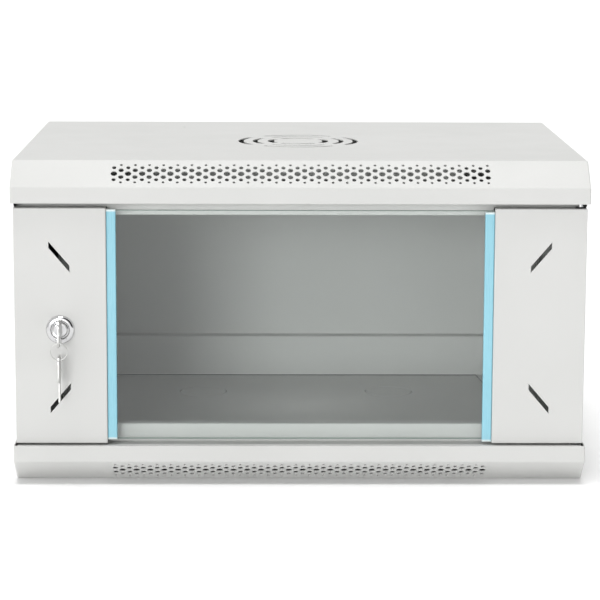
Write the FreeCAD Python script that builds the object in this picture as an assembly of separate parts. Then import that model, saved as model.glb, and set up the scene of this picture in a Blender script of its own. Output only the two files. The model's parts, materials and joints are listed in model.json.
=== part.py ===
import FreeCAD, Part
import math
import os

# Wall-mounted 19-inch rack cabinet with a glass door: steel frame, two alike pressed covers,
# tilt-out side panels, four mounting rails and a keyed cam lock.
# Frame: X to the right, Y to the back (the door faces -Y), Z up, origin at the centre of the underside.
# All sizes are in millimetres.

V = FreeCAD.Vector

# ---- driving dimensions -------------------------------------------------------------------------
WIDTH = 600.0
DEPTH = 450.0
HEIGHT = 340.0
SKIN = 1.2               # sheet of the covers, panels and door
PLATE = 1.5              # sheet of the frame, posts, brackets and rails

# pressed cover
LIP_HEIGHT = 17.0        # upright band round the open edge
BEVEL_RISE = 25.0
BEVEL_RUN = 30.0
VENT_RINGS = ((61.0, 67.0), (45.5, 51.0), (27.0, 34.0))
VENT_HALF_ANGLE = 36.0   # each ring is four slots, this far either side of the four directions
PILOT_HOLE_AT = (-133.0, 157.0)
PILOT_HOLE_RADIUS = 2.0

# frame
FLOOR_UNDERSIDE = 28.6
FRAME_FRONT = -197.0     # front face of the sill, the header and the posts behind them
SILL_TOP = 60.2
HEADER_BOTTOM = 282.6
LEDGE_TOP = 41.5         # ledge that carries the hinge pins, hidden behind the cover's lip
LEDGE_FRONT = -222.3
FLANGE_EDGE = 12.0       # lower edge of the side flanges that the cover is screwed to
CEILING_OPENING = (360.0, 240.0)
KNOCKOUT_RADIUS = 28.0
KNOCKOUT_AT = (110.0, 111.0)
KNOCKOUT_SLOT = 1.2
REAR_RAIL_HEIGHT = 49.0
REAR_RAIL_FRONT = 205.5

# posts and side panels
POST_INNER = 268.0
REAR_POST_INNER = 260.5
POST_OUTER = 297.0
POST_WEB = 287.0         # outer face of the post's side web
PANEL_OUTER = 299.5
PANEL_FOLD = 10.8
PANEL_GAP = 1.0          # above the lower cover and below the upper one

# rack space: five units between the sill and the header
UNIT = 44.45
UNITS = 5
RACK_BOTTOM = 60.3
HOLES_IN_UNIT = (6.35, 22.225, 38.1)
SQUARE_HOLE = 9.5
RAIL_HOLE_X = 232.56
RAIL_INNER = 225.0
RAIL_OUTER = 255.0
RAIL_DEPTH = 31.5
FRONT_RAIL_Y = -150.0
RAIL_TRAVEL_OUT = 20.0   # towards the nearer face of the cabinet
RAIL_TRAVEL_IN = 60.0
BRACKET_TOP = 44.5
BRACKET_INNER = 231.5
BRACKET_WEB = 264.0
BRACKET_FOOT = (222.0, 227.5)   # inner edge of the foot: at its rear end, and from the slanting cut forwards
BRACKET_CUT_Y = 150.0
RAIL_BOLT_X = 240.0
BOLT_RADIUS = 3.0
BOLT_SLOT_RADIUS = 3.4

# door
DOOR_FRONT = -219.0
DOOR_BACK = -200.0
DOOR_BOTTOM = 43.8
DOOR_TOP = 292.5
DOOR_HALF_WIDTH = 297.5
STILE_INNER = 201.8
STILE_SLOT_LENGTH = 33.0
STILE_SLOT_WIDTH = 4.3
STILE_SLOT_ANGLE = 49.5
STILE_SLOT_X = 250.5
STILE_SLOT_Z = (91.8, 241.5)
GLASS_FRONT = -213.0
GLASS_THICKNESS = 4.0
GLASS_HALF_WIDTH = 215.0
GLASS_BOTTOM = 47.0
GLASS_TOP = 289.8
TRIM_WIDTH = 10.0
TRIM_LENGTH = 243.8
LEFT_TRIM_BOTTOM = 47.2
RIGHT_TRIM_BOTTOM = 44.9
CLAMP_STUD_X = 227.0
CLAMP_STUD_Z = (74.0, 169.0, 264.0)
HINGE_X = 291.0
HINGE_Y = -211.0
HINGE_PIN_RADIUS = 3.0

# lock, keys and ring
LOCK_X = -250.0
LOCK_Z = 165.0
ROSETTE_RADIUS = 15.0
ROSETTE_FRONT = -223.5
BARREL_RADIUS = 9.5
PLUG_RADIUS = 6.0
PLUG_HEAD_RADIUS = 9.0
CAM_FRONT = -193.2
CAM_THICKNESS = 2.0
CAM_LENGTH = 30.0
CAM_WIDTH = 14.0
CAM_NOTCH = (125.0, 181.0)
KEY_THICKNESS = 2.0
BOW_HOLE_STRIP = 3.0     # metal between the bow's slot and its edge
BOW_HEIGHT = 28.0
BOW_DEPTH = 24.0
RING_Y = -242.0
RING_RADIUS = 8.7
RING_WIRE = 0.8
RING_DROP = 6.1          # centre of the ring below the strip it hangs on

# side panel latch
LATCH_Z = 270.0
LATCH_RADIUS = 10.0
LATCH_CAM_INNER = 282.3
CATCH_BOTTOM = 290.0     # plate of the upper frame that the latch cam swings behind

FRONT = -DEPTH / 2
REAR = DEPTH / 2
MIDDLE = HEIGHT / 2
COVER_HEIGHT = LIP_HEIGHT + BEVEL_RISE
FLOOR_TOP = FLOOR_UNDERSIDE + PLATE
FIT = 0.05               # running clearance of a shaft
EASY = 0.3               # clearance between parts that pass each other

X_AXIS = V(1, 0, 0)
Y_AXIS = V(0, 1, 0)
Z_AXIS = V(0, 0, 1)


# ---- helpers ------------------------------------------------------------------------------------
def box(x0, x1, y0, y1, z0, z1):
    return Part.makeBox(x1 - x0, y1 - y0, z1 - z0, V(x0, y0, z0))


def rod(radius, start, end):
    """Round bar from one point to another."""
    run = end.sub(start)
    return Part.makeCylinder(radius, run.Length, start, run)


def prism(points, direction):
    """Straight prism on a closed outline of 3-D points."""
    return Part.Face(Part.makePolygon(points + [points[0]])).extrude(direction)


def hexagon(across_flats, centre, direction):
    """Hexagonal prism whose axis is the direction given."""
    radius = across_flats / math.sqrt(3)
    corners = [V(radius * math.cos(math.radians(60 * i)), radius * math.sin(math.radians(60 * i)), 0)
               for i in range(6)]
    solid = prism(corners, V(0, 0, direction.Length))
    solid.Placement = FreeCAD.Placement(centre, FreeCAD.Rotation(Z_AXIS, direction))
    return solid


def fuse(solids):
    return solids[0].multiFuse(solids[1:]).removeSplitter()


def other_side(shape):
    """The same piece on the right-hand side."""
    return shape.mirror(V(0, 0, 0), X_AXIS)


def upside_down(shape):
    """The same piece mirrored between floor and ceiling."""
    return shape.mirror(V(0, 0, MIDDLE), Z_AXIS)


def turned_over(shape):
    """The same piece turned half a turn about the depth axis at mid-height."""
    turned = shape.copy()
    turned.rotate(V(0, 0, MIDDLE), Y_AXIS, 180)
    return turned


def save(name, shape):
    if isinstance(shape, (list, tuple)):
        shape = Part.makeCompound(list(shape))
    shape.exportStep("parts/%s.step" % name)
    print("%-22s %2d solid(s) %9.1f mm3 valid %s" % (name, len(shape.Solids), shape.Volume, shape.isValid()))


# ---- covers -------------------------------------------------------------------------------------
def vent_slots(z):
    """Three rings of four curved slots, where a 120 mm fan can blow out."""
    slots = []
    for inner, outer in VENT_RINGS:
        ring = Part.makeCylinder(outer, 4 * SKIN, V(0, 0, z), Z_AXIS, 2 * VENT_HALF_ANGLE)
        core = Part.makeCylinder(inner, 4 * SKIN, V(0, 0, z), Z_AXIS, 2 * VENT_HALF_ANGLE)
        slot = ring.cut(core)
        for quarter in range(4):
            turned = slot.copy()
            turned.rotate(V(0, 0, 0), Z_AXIS, 90 * quarter - VENT_HALF_ANGLE)
            slots.append(turned)
    return slots


def cover_outline(inset, x, open_edge):
    """Side outline of the cover, shrunk inwards by the inset."""
    slope = math.hypot(BEVEL_RISE, BEVEL_RUN)
    lean = (BEVEL_RISE / slope, -BEVEL_RUN / slope)
    lip_top = HEIGHT - BEVEL_RISE + inset * lean[1] / (1 + lean[0])
    bevel_back = FRONT + BEVEL_RUN + inset * lean[0] / (1 - lean[1])
    return [V(x, FRONT + inset, open_edge), V(x, FRONT + inset, lip_top), V(x, bevel_back, HEIGHT - inset),
            V(x, REAR - inset, HEIGHT - inset), V(x, REAR - inset, open_edge)]


def screw_places():
    """Countersunk screws that hold the upper cover to the frame: side, depth and height."""
    return [(side, y, HEIGHT - COVER_HEIGHT / 2) for side in (-1, 1) for y in (-150.0, 150.0)]


def countersunk(side, y, z, ease):
    """M4 countersunk screw, its head flush with the side of the cover."""
    outer = side * WIDTH / 2
    head = Part.makeCone(4.0 + ease, 2.0 + ease, 2.0, V(outer, y, z), V(-side, 0, 0))
    shank = rod(2.0 + ease, V(outer - side * 1.9, y, z), V(outer - side * 12, y, z))
    return fuse([head, shank])


def pressed_cover():
    open_edge = HEIGHT - COVER_HEIGHT
    half = WIDTH / 2
    outside = prism(cover_outline(0, -half, open_edge), V(WIDTH, 0, 0))
    inside = prism(cover_outline(SKIN, SKIN - half, open_edge - 1), V(WIDTH - 2 * SKIN, 0, 0))
    pilot = rod(PILOT_HOLE_RADIUS, V(*PILOT_HOLE_AT, HEIGHT - 3), V(*PILOT_HOLE_AT, HEIGHT + 1))
    screws = [countersunk(*place, ease=0) for place in screw_places()]
    return outside.cut(inside).cut(vent_slots(HEIGHT - 2 * SKIN) + [pilot] + screws)


def cover_screws():
    upper = [countersunk(*place, ease=0) for place in screw_places()]
    return upper + [turned_over(screw) for screw in upper]


# ---- frame --------------------------------------------------------------------------------------
def frame_ring(plate, flange_reach):
    """Floor-side frame: plate, front flange, hinge ledge and the side flanges that hold the cover."""
    skirt = WIDTH / 2 - SKIN
    flange = box(-POST_OUTER, POST_OUTER, FRAME_FRONT, FRAME_FRONT + PLATE, FLOOR_UNDERSIDE, flange_reach)
    hem = box(2 - POST_INNER, POST_INNER - 2, FRAME_FRONT, FRAME_FRONT + 10, flange_reach - PLATE, flange_reach)
    ledge = box(-POST_OUTER, POST_OUTER, LEDGE_FRONT, FRAME_FRONT, LEDGE_TOP - PLATE, LEDGE_TOP)
    ledge_hem = box(-POST_OUTER, POST_OUTER, LEDGE_FRONT, LEDGE_FRONT + PLATE, LEDGE_TOP - 14, LEDGE_TOP)
    sides = [box(side * skirt - (side > 0) * PLATE, side * skirt + (side < 0) * PLATE,
                 FRAME_FRONT + PLATE, REAR - SKIN, FLANGE_EDGE, FLOOR_TOP) for side in (-1, 1)]
    pin_hole = rod(HINGE_PIN_RADIUS + FIT, V(HINGE_X, HINGE_Y, LEDGE_TOP - 5), V(HINGE_X, HINGE_Y, LEDGE_TOP + 1))
    screws = [turned_over(countersunk(*place, ease=0)) for place in screw_places()]
    return fuse([plate, flange, hem, ledge, ledge_hem] + sides).cut([pin_hole] + screws)


def full_plate():
    skirt = WIDTH / 2 - SKIN
    return box(-skirt, skirt, FRAME_FRONT + PLATE, REAR - SKIN, FLOOR_UNDERSIDE, FLOOR_TOP)


def knockout(x, y):
    """Round cable knock-out: three arc slots, with the disc still held by the tabs between them."""
    slots = []
    for third in range(3):
        outer = Part.makeCylinder(KNOCKOUT_RADIUS, 4, V(x, y, FLOOR_UNDERSIDE - 1), Z_AXIS, 112)
        inner = Part.makeCylinder(KNOCKOUT_RADIUS - KNOCKOUT_SLOT, 4, V(x, y, FLOOR_UNDERSIDE - 1), Z_AXIS, 112)
        slot = outer.cut(inner)
        slot.rotate(V(x, y, 0), Z_AXIS, 120 * third + 34)
        slots.append(slot)
    return slots


def bottom_frame():
    x, y = KNOCKOUT_AT
    return frame_ring(full_plate().cut(knockout(x, y) + knockout(-x, y)), SILL_TOP)


def top_frame():
    length, width = CEILING_OPENING
    opening = box(-length / 2, length / 2, -width / 2, width / 2, FLOOR_UNDERSIDE - 1, FLOOR_TOP + 1)
    ring = upside_down(frame_ring(full_plate().cut(opening), HEIGHT - HEADER_BOTTOM))
    catch = box(-POST_WEB, PLATE - POST_WEB, -60, 60, CATCH_BOTTOM, HEIGHT - FLOOR_TOP)
    return fuse([ring, catch, other_side(catch)])


def front_post(cam_notch):
    """Left front post: front flange, side web and an inner return, notched where the lock's cam enters."""
    low, high = FLOOR_TOP, HEIGHT - FLOOR_TOP
    face = FRAME_FRONT + PLATE
    flange = box(-POST_OUTER, -POST_INNER, face, face + PLATE, low, high)
    web = box(-POST_WEB, PLATE - POST_WEB, face, face + 36, low, high)
    inner = box(-POST_INNER - PLATE, -POST_INNER, face, face + 13, low, high)
    post = fuse([flange, web, inner])
    if not cam_notch:
        return post
    return post.cut(box(-POST_INNER - 5, 1 - POST_INNER, face + PLATE, face + 20, *CAM_NOTCH))


def wall_hole_places():
    return [(x, z) for x in (-270.0, 270.0) for z in (MIDDLE - 100, MIDDLE + 100)]


def wall_holes():
    """Ten-millimetre holes for the wall bolts, through the back panel and the rear posts."""
    return [rod(5.0, V(x, REAR - 10, z), V(x, REAR + 1, z)) for x, z in wall_hole_places()]


def rear_post():
    low, high = FLOOR_TOP, HEIGHT - FLOOR_TOP
    back = REAR - SKIN
    flange = box(-POST_OUTER, -REAR_POST_INNER, back - PLATE, back, low, high)
    web = box(-POST_WEB, PLATE - POST_WEB, back - 34, back, low, high)
    return fuse([flange, web]).cut(wall_holes())


def back_panel():
    low = COVER_HEIGHT + 0.5
    return box(-WIDTH / 2 + 1.7, WIDTH / 2 - 1.7, REAR - SKIN, REAR, low, HEIGHT - low).cut(wall_holes())


def lower_rear_rail():
    """Channel across the back, between the rear posts."""
    half = REAR_POST_INNER - EASY
    back = REAR - SKIN - 0.1
    top = FLOOR_TOP + REAR_RAIL_HEIGHT
    face = box(-half, half, REAR_RAIL_FRONT, REAR_RAIL_FRONT + PLATE, FLOOR_TOP, top)
    shelf = box(-half, half, REAR_RAIL_FRONT, back, top - PLATE, top)
    foot = box(-half, half, REAR_RAIL_FRONT, back, FLOOR_TOP, FLOOR_TOP + PLATE)
    return fuse([face, shelf, foot])


# ---- rails --------------------------------------------------------------------------------------
def rail_slot(y):
    """Slot that lets a rail's bolt slide along the bracket; y is where the bolt stands at rest."""
    toward_front = RAIL_TRAVEL_OUT if y < 0 else RAIL_TRAVEL_IN
    toward_back = RAIL_TRAVEL_IN if y < 0 else RAIL_TRAVEL_OUT
    reach = 0.5
    y0, y1 = y - toward_front - reach, y + toward_back + reach
    z0, z1 = BRACKET_TOP - PLATE - 1, BRACKET_TOP + 1
    ends = [rod(BOLT_SLOT_RADIUS, V(-RAIL_BOLT_X, end, z0), V(-RAIL_BOLT_X, end, z1)) for end in (y0, y1)]
    middle = box(-RAIL_BOLT_X - BOLT_SLOT_RADIUS, BOLT_SLOT_RADIUS - RAIL_BOLT_X, y0, y1, z0, z1)
    return fuse([middle] + ends)


def bolt_y():
    return FRONT_RAIL_Y + 16


def depth_bracket():
    """Lower left bracket between front and back: a channel on the floor that the rails are bolted on."""
    y0, y1 = -180.0, 205.0
    shelf = box(-BRACKET_WEB, -BRACKET_INNER, y0, y1, BRACKET_TOP - PLATE, BRACKET_TOP)
    web = box(-BRACKET_WEB, PLATE - BRACKET_WEB, y0, y1, FLOOR_TOP, BRACKET_TOP)
    rear_edge, edge = BRACKET_FOOT
    foot = prism([V(-BRACKET_WEB, y0, FLOOR_TOP), V(-edge, y0, FLOOR_TOP), V(-edge, BRACKET_CUT_Y, FLOOR_TOP),
                  V(-rear_edge, y1, FLOOR_TOP), V(-BRACKET_WEB, y1, FLOOR_TOP)], V(0, 0, PLATE))
    return fuse([shelf, web, foot]).cut([rail_slot(bolt_y()), rail_slot(-bolt_y())])


def mounting_rail():
    """Left front rail: square-holed flange, side flange, and a foot at each end."""
    low, high = BRACKET_TOP, HEIGHT - BRACKET_TOP
    back = FRONT_RAIL_Y + RAIL_DEPTH
    flange = box(-RAIL_OUTER, -RAIL_INNER, FRONT_RAIL_Y, FRONT_RAIL_Y + PLATE, low, high)
    side = box(-RAIL_OUTER, PLATE - RAIL_OUTER, FRONT_RAIL_Y, back, low, high)
    feet = [box(-RAIL_OUTER, -RAIL_INNER, FRONT_RAIL_Y, back, z, z + PLATE) for z in (low, high - PLATE)]
    half = SQUARE_HOLE / 2
    holes = [box(-RAIL_HOLE_X - half, half - RAIL_HOLE_X, FRONT_RAIL_Y - 1, FRONT_RAIL_Y + 3, z - half, z + half)
             for z in (RACK_BOTTOM + UNIT * unit + step for unit in range(UNITS) for step in HOLES_IN_UNIT)]
    bolt_hole = rod(BOLT_RADIUS + EASY, V(-RAIL_BOLT_X, bolt_y(), low - 1), V(-RAIL_BOLT_X, bolt_y(), high + 1))
    return fuse([flange, side] + feet).cut(holes + [bolt_hole])


def rail_bolts():
    """M6 hexagon bolts through the feet of the left front rail."""
    foot = BRACKET_TOP + PLATE
    head = hexagon(10.0, V(-RAIL_BOLT_X, bolt_y(), foot), V(0, 0, 4))
    shank = rod(BOLT_RADIUS, V(-RAIL_BOLT_X, bolt_y(), foot), V(-RAIL_BOLT_X, bolt_y(), foot - 9.5))
    lower = fuse([head, shank])
    return [lower, upside_down(lower)]


def rail_nuts():
    under = BRACKET_TOP - PLATE - 5
    nut = hexagon(10.0, V(-RAIL_BOLT_X, bolt_y(), under), V(0, 0, 4.9))
    nut = nut.cut(rod(BOLT_RADIUS, V(-RAIL_BOLT_X, bolt_y(), under - 1), V(-RAIL_BOLT_X, bolt_y(), under + 6)))
    return [nut, upside_down(nut)]


def placed(shapes, right, rear):
    """Copies of left front pieces, mirrored to the right or to the rear."""
    moved = shapes
    if right:
        moved = [other_side(shape) for shape in moved]
    if rear:
        moved = [shape.mirror(V(0, 0, 0), Y_AXIS) for shape in moved]
    return moved


# ---- side panels --------------------------------------------------------------------------------
def side_panel():
    """Left panel: a shallow tray with its folded edges turned inwards, and a hole for the latch."""
    y0, y1 = FRAME_FRONT + 2 * PLATE + 0.8, REAR - SKIN - PLATE - EASY
    z0, z1 = COVER_HEIGHT + PANEL_GAP, HEIGHT - COVER_HEIGHT - PANEL_GAP
    inner = PANEL_OUTER - SKIN
    outside = box(-PANEL_OUTER, PANEL_FOLD - inner, y0, y1, z0, z1)
    hollow = box(-inner, PANEL_FOLD - inner + 1, y0 + SKIN, y1 - SKIN, z0 + SKIN, z1 - SKIN)
    latch_hole = rod(LATCH_RADIUS + EASY, V(-PANEL_OUTER - 1, 0, LATCH_Z), V(2 - inner, 0, LATCH_Z))
    return outside.cut(hollow).cut(latch_hole)


def panel_latch():
    """Left quarter-turn latch: coin-slotted knob, flange, shaft and cam, cast in one piece."""
    inner = PANEL_OUTER - SKIN
    knob = rod(LATCH_RADIUS, V(-WIDTH / 2, 0, LATCH_Z), V(1 - inner, 0, LATCH_Z))
    flange = rod(LATCH_RADIUS + 3, V(EASY - inner, 0, LATCH_Z), V(EASY + 1.5 - inner, 0, LATCH_Z))
    shaft = rod(4.0, V(1 - inner, 0, LATCH_Z), V(-LATCH_CAM_INNER, 0, LATCH_Z))
    cam = box(-LATCH_CAM_INNER - 2, -LATCH_CAM_INNER, 0, 30, LATCH_Z - 6, LATCH_Z + 6)
    hub = rod(6.0, V(-LATCH_CAM_INNER - 2, 0, LATCH_Z), V(-LATCH_CAM_INNER, 0, LATCH_Z))
    coin_slot = box(-WIDTH / 2 - 1, 1 - WIDTH / 2, -7, 7, LATCH_Z - 1, LATCH_Z + 1)
    return fuse([knob, flange, shaft, cam, hub]).cut(coin_slot)


# ---- door ---------------------------------------------------------------------------------------
def stile_slot(x, z, angle):
    """Slanting slot with pointed ends that are cut upright."""
    half = STILE_SLOT_LENGTH / 2
    lean = math.radians(angle)
    dx, dz = half * math.cos(lean), half * math.sin(lean)
    across = STILE_SLOT_WIDTH / math.cos(lean) / 2
    y = DOOR_FRONT - 1
    outline = [V(x - dx, y, z - dz - across), V(x + dx, y, z + dz - across),
               V(x + dx, y, z + dz + across), V(x - dx, y, z - dz + across)]
    return prism(outline, V(0, 5, 0))


def plain_stile():
    """Left stile: face, folded edges, two slanting slots and the studs that hold the glass clamp."""
    x0, x1 = -DOOR_HALF_WIDTH, -STILE_INNER
    face = box(x0, x1, DOOR_FRONT, DOOR_FRONT + SKIN, DOOR_BOTTOM, DOOR_TOP)
    outer = box(x0, x0 + SKIN, DOOR_FRONT, DOOR_BACK, DOOR_BOTTOM, DOOR_TOP)
    inner = box(x1 - SKIN, x1, DOOR_FRONT, GLASS_FRONT - 1.2, DOOR_BOTTOM, DOOR_TOP)
    ends = [box(x0, x1, DOOR_FRONT, DOOR_BACK, z, z + SKIN) for z in (DOOR_BOTTOM, DOOR_TOP - SKIN)]
    studs = [rod(2.5, V(-CLAMP_STUD_X, DOOR_FRONT + SKIN, z), V(-CLAMP_STUD_X, DOOR_FRONT + 10, z))
             for z in CLAMP_STUD_Z]
    low, high = STILE_SLOT_Z
    slots = [stile_slot(-STILE_SLOT_X, low, STILE_SLOT_ANGLE), stile_slot(-STILE_SLOT_X, high, -STILE_SLOT_ANGLE)]
    return fuse([face, outer, inner] + ends + studs).cut(slots)


def left_stile():
    lock_hole = rod(BARREL_RADIUS + 0.1, V(LOCK_X, DOOR_FRONT - 1, LOCK_Z), V(LOCK_X, DOOR_FRONT + 3, LOCK_Z))
    return plain_stile().cut(lock_hole)


def right_stile():
    bush_hole = rod(4.5, V(HINGE_X, HINGE_Y, DOOR_BOTTOM - 1), V(HINGE_X, HINGE_Y, DOOR_TOP + 1))
    return other_side(plain_stile()).cut(bush_hole)


def hinge_bushes():
    """Nylon bushes in the right stile's ends; the lower one's collar carries the door's weight."""
    bushes = []
    for low, high, collar_low, collar_high in (
            (LEDGE_TOP + EASY, DOOR_BOTTOM + 3.2, LEDGE_TOP + EASY, DOOR_BOTTOM),
            (DOOR_TOP - 3.2, DOOR_TOP + 1.5, DOOR_TOP, DOOR_TOP + 1.5)):
        body = rod(4.5, V(HINGE_X, HINGE_Y, low), V(HINGE_X, HINGE_Y, high))
        collar = rod(5.2, V(HINGE_X, HINGE_Y, collar_low), V(HINGE_X, HINGE_Y, collar_high))
        bore = rod(HINGE_PIN_RADIUS + FIT, V(HINGE_X, HINGE_Y, low - 1), V(HINGE_X, HINGE_Y, high + 1))
        bushes.append(fuse([body, collar]).cut(bore))
    return bushes


def lower_hinge_pin():
    """Headed pin that stands up through the ledge into the door's lower bush."""
    pin = rod(HINGE_PIN_RADIUS, V(HINGE_X, HINGE_Y, LEDGE_TOP - PLATE), V(HINGE_X, HINGE_Y, DOOR_BOTTOM + 9))
    head = rod(5.0, V(HINGE_X, HINGE_Y, LEDGE_TOP - PLATE - 2), V(HINGE_X, HINGE_Y, LEDGE_TOP - PLATE))
    return fuse([pin, head])


def upper_hinge_pin():
    seat = HEIGHT - LEDGE_TOP + PLATE
    pin = rod(HINGE_PIN_RADIUS, V(HINGE_X, HINGE_Y, DOOR_TOP - 9), V(HINGE_X, HINGE_Y, seat))
    head = rod(5.0, V(HINGE_X, HINGE_Y, seat), V(HINGE_X, HINGE_Y, seat + 2))
    return fuse([pin, head])


def door_glass():
    return box(-GLASS_HALF_WIDTH, GLASS_HALF_WIDTH, GLASS_FRONT, GLASS_FRONT + GLASS_THICKNESS,
               GLASS_BOTTOM, GLASS_TOP)


def glass_trim(side, bottom):
    """Plastic strip along the seam between the glass and a stile, softly rounded in front."""
    near, far = STILE_INNER - 0.1, STILE_INNER - 0.1 - TRIM_WIDTH
    x0, x1 = sorted((side * near, side * far))
    strip = box(x0, x1, GLASS_FRONT - 3.6, GLASS_FRONT, bottom, bottom + TRIM_LENGTH)
    front_edges = [edge for edge in strip.Edges
                   if edge.BoundBox.ZLength > 100 and edge.BoundBox.YMin < GLASS_FRONT - 3]
    return strip.makeFillet(1.0, front_edges)


def glass_clamp():
    """Left clamp: a pressed bar, bolted to the stile, that bears on the back of the glass."""
    back = GLASS_FRONT + GLASS_THICKNESS
    seat = DOOR_FRONT + SKIN
    step = GLASS_HALF_WIDTH + 1
    z0, z1 = GLASS_BOTTOM + 4, GLASS_TOP - 4
    pad = box(-step - PLATE, -206, back, back + PLATE, z0, z1)
    web = box(-step - PLATE, -step, seat, back + PLATE, z0, z1)
    foot = box(-236, -step, seat, seat + PLATE, z0, z1)
    holes = [rod(2.7, V(-CLAMP_STUD_X, seat - 1, z), V(-CLAMP_STUD_X, seat + 3, z)) for z in CLAMP_STUD_Z]
    return fuse([pad, web, foot]).cut(holes)


def clamp_nuts():
    nuts = []
    seat = DOOR_FRONT + SKIN + PLATE
    for z in CLAMP_STUD_Z:
        nut = hexagon(8.0, V(-CLAMP_STUD_X, seat, z), V(0, 4, 0))
        nut = nut.cut(rod(2.5, V(-CLAMP_STUD_X, seat - 1, z), V(-CLAMP_STUD_X, seat + 5, z)))
        nuts += [nut, other_side(nut)]
    return nuts


# ---- lock, keys and ring ------------------------------------------------------------------------
def along_lock(radius, y0, y1):
    return rod(radius, V(LOCK_X, y0, LOCK_Z), V(LOCK_X, y1, LOCK_Z))


def lock_body():
    """Domed rosette in one piece with the barrel that passes through the stile."""
    rosette = along_lock(ROSETTE_RADIUS, ROSETTE_FRONT, DOOR_FRONT)
    rim = [edge for edge in rosette.Edges if abs(edge.BoundBox.YMax - ROSETTE_FRONT) < 0.01]
    rosette = rosette.makeFillet(3.0, rim)
    barrel = along_lock(BARREL_RADIUS, DOOR_FRONT, CAM_FRONT - 1.3)
    seat = along_lock(PLUG_HEAD_RADIUS + 0.3, ROSETTE_FRONT - 1, ROSETTE_FRONT + 2.8)
    bore = along_lock(PLUG_RADIUS + FIT, ROSETTE_FRONT, CAM_FRONT)
    return fuse([rosette, barrel]).cut([seat, bore])


def lock_nut():
    seat = DOOR_FRONT + SKIN
    nut = hexagon(24.0, V(LOCK_X, seat, LOCK_Z), V(0, 4, 0))
    return nut.cut(along_lock(BARREL_RADIUS + FIT, seat - 1, seat + 5))


def key_blade_space(ease):
    """Upright blade of the key, from its shoulder to its tip."""
    half = KEY_THICKNESS / 2 + ease
    return box(LOCK_X - half, LOCK_X + half, ROSETTE_FRONT - 3, ROSETTE_FRONT + 19 + ease,
               LOCK_Z - 3.75 - ease, LOCK_Z + 3.75 + ease)


def lock_cylinder():
    head = along_lock(PLUG_HEAD_RADIUS, ROSETTE_FRONT + 0.3, ROSETTE_FRONT + 2.5)
    shaft = along_lock(PLUG_RADIUS, ROSETTE_FRONT + 2.5, CAM_FRONT)
    return fuse([head, shaft]).cut(key_blade_space(0.15))


def lock_cam():
    """Flat cam that hangs down when open and swings behind the post when the key is turned."""
    y0, y1 = CAM_FRONT, CAM_FRONT + CAM_THICKNESS
    half = CAM_WIDTH / 2
    arm = box(LOCK_X - half, LOCK_X + half, y0, y1, LOCK_Z - CAM_LENGTH, LOCK_Z)
    return fuse([arm, along_lock(half, y0, y1)]).cut(along_lock(2.2, y0 - 1, y1 + 1))


def cam_screw():
    back = CAM_FRONT + CAM_THICKNESS
    return fuse([along_lock(4.0, back, back + 2.4), along_lock(2.0, CAM_FRONT, back)])


def key_bow(top, strip_at_top):
    """Flat bow in the plane X = LOCK_X, with a slot beside one of its ends for the ring."""
    half = KEY_THICKNESS / 2
    y0, y1 = RING_Y - 8, RING_Y - 8 + BOW_DEPTH
    bow = box(LOCK_X - half, LOCK_X + half, y0, y1, top - BOW_HEIGHT, top)
    corners = [edge for edge in bow.Edges if edge.BoundBox.XLength > half]
    bow = bow.makeFillet(7.0, corners)
    reach = 6.5
    edge = top - BOW_HOLE_STRIP if strip_at_top else top - BOW_HEIGHT + BOW_HOLE_STRIP + reach
    slot_half = 2.2
    upper, lower = edge - slot_half, edge - reach + slot_half
    ends = [rod(slot_half, V(LOCK_X - 3, RING_Y, z), V(LOCK_X + 3, RING_Y, z)) for z in (upper, lower)]
    middle = box(LOCK_X - 3, LOCK_X + 3, RING_Y - slot_half, RING_Y + slot_half, lower, upper)
    return bow.cut(fuse([middle] + ends))


def blade_cuts(centre_y, centre_z, direction, across):
    """Five notches of different depth along one edge of a blade."""
    cuts = []
    for i, depth in enumerate((1.2, 2.2, 0.8, 1.8, 1.4)):
        along = direction * (5 + 2.8 * i)
        tip = V(LOCK_X - 3, centre_y, centre_z) + along + across * (3.75 - depth)
        wide = across * 4
        spread = direction * 1.2
        cuts.append(prism([tip, tip + wide + spread, tip + wide - spread], V(6, 0, 0)))
    return cuts


def door_key():
    """Key in the lock: blade in the cylinder, shoulder, and the bow standing out in front."""
    top = LOCK_Z + BOW_HEIGHT / 2 - 0.8
    neck = box(LOCK_X - 1, LOCK_X + 1, RING_Y + 14, ROSETTE_FRONT - 1, LOCK_Z - 5, LOCK_Z + 5)
    blade = key_blade_space(0).cut(blade_cuts(ROSETTE_FRONT, LOCK_Z, V(0, 1, 0), V(0, 0, 1)))
    return fuse([blade, neck, key_bow(top, False)])


def ring_centre_z():
    strip = LOCK_Z - BOW_HEIGHT / 2 - 0.8 + BOW_HOLE_STRIP / 2
    return strip - RING_DROP


def key_ring():
    """Split ring, drawn closed, that hangs in the slot of the bow."""
    return Part.makeTorus(RING_RADIUS, RING_WIRE, V(LOCK_X, RING_Y, ring_centre_z()), Y_AXIS)


def spare_key():
    """Second key, hanging from the bottom of the ring by the slot in its bow."""
    wire = ring_centre_z() - RING_RADIUS
    top = wire + RING_WIRE + EASY + BOW_HOLE_STRIP
    root = top - BOW_HEIGHT
    bow_middle = RING_Y - 8 + BOW_DEPTH / 2
    neck = box(LOCK_X - 1, LOCK_X + 1, bow_middle - 5, bow_middle + 5, root - 2, root + 1)
    blade = box(LOCK_X - 1, LOCK_X + 1, bow_middle - 3.75, bow_middle + 3.75, root - 21, root)
    blade = blade.cut(blade_cuts(bow_middle, root, V(0, 0, -1), V(0, 1, 0)))
    return fuse([key_bow(top, True), neck, blade])


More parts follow.
